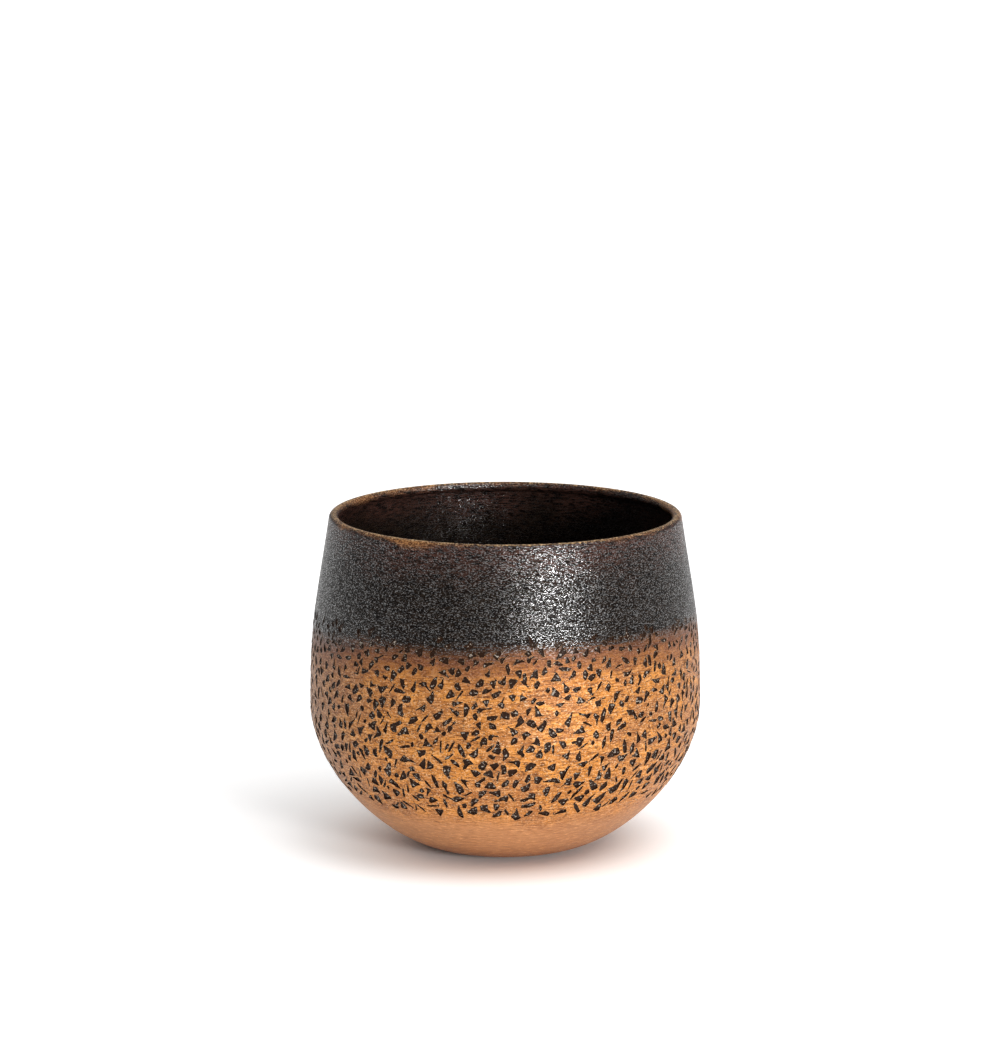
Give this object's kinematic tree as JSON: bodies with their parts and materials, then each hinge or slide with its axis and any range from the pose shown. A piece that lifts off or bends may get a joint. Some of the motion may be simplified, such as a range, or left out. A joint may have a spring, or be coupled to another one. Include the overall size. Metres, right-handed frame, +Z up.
{
  "type": "planter pot",
  "caption": "Round-bellied brass planter pot with a rolled lip, chiselled copper-brown sides, a dark upper band and a plastic liner that lifts out.",
  "frame": {"origin": "on the ground under the middle of the pot, at the pads' undersides", "axes": "+Z up along the pot's axis; the pot is round, so +X and +Y only fix the pads, which lie at 45 degrees to them"},
  "size_m": [0.2, 0.2, 0.1729],
  "materials": {
    "patinated_brass": "satin",
    "steel_wire": "satin",
    "black_plastic": "matte",
    "pad_rubber": "matte"
  },
  "bodies": {
    "pot": {"pot_body": "patinated_brass", "rim_wire": "steel_wire", "foot_pad_1": "pad_rubber", "foot_pad_2": "pad_rubber", "foot_pad_3": "pad_rubber", "foot_pad_4": "pad_rubber"},
    "liner": {"liner_pot": "black_plastic"}
  },
  "joints": [
    {"name": "liner_lift", "type": "slide", "parent": "pot", "child": "liner", "axis": [0, 0, 1], "range_m": [0, 0.18]}
  ]
}
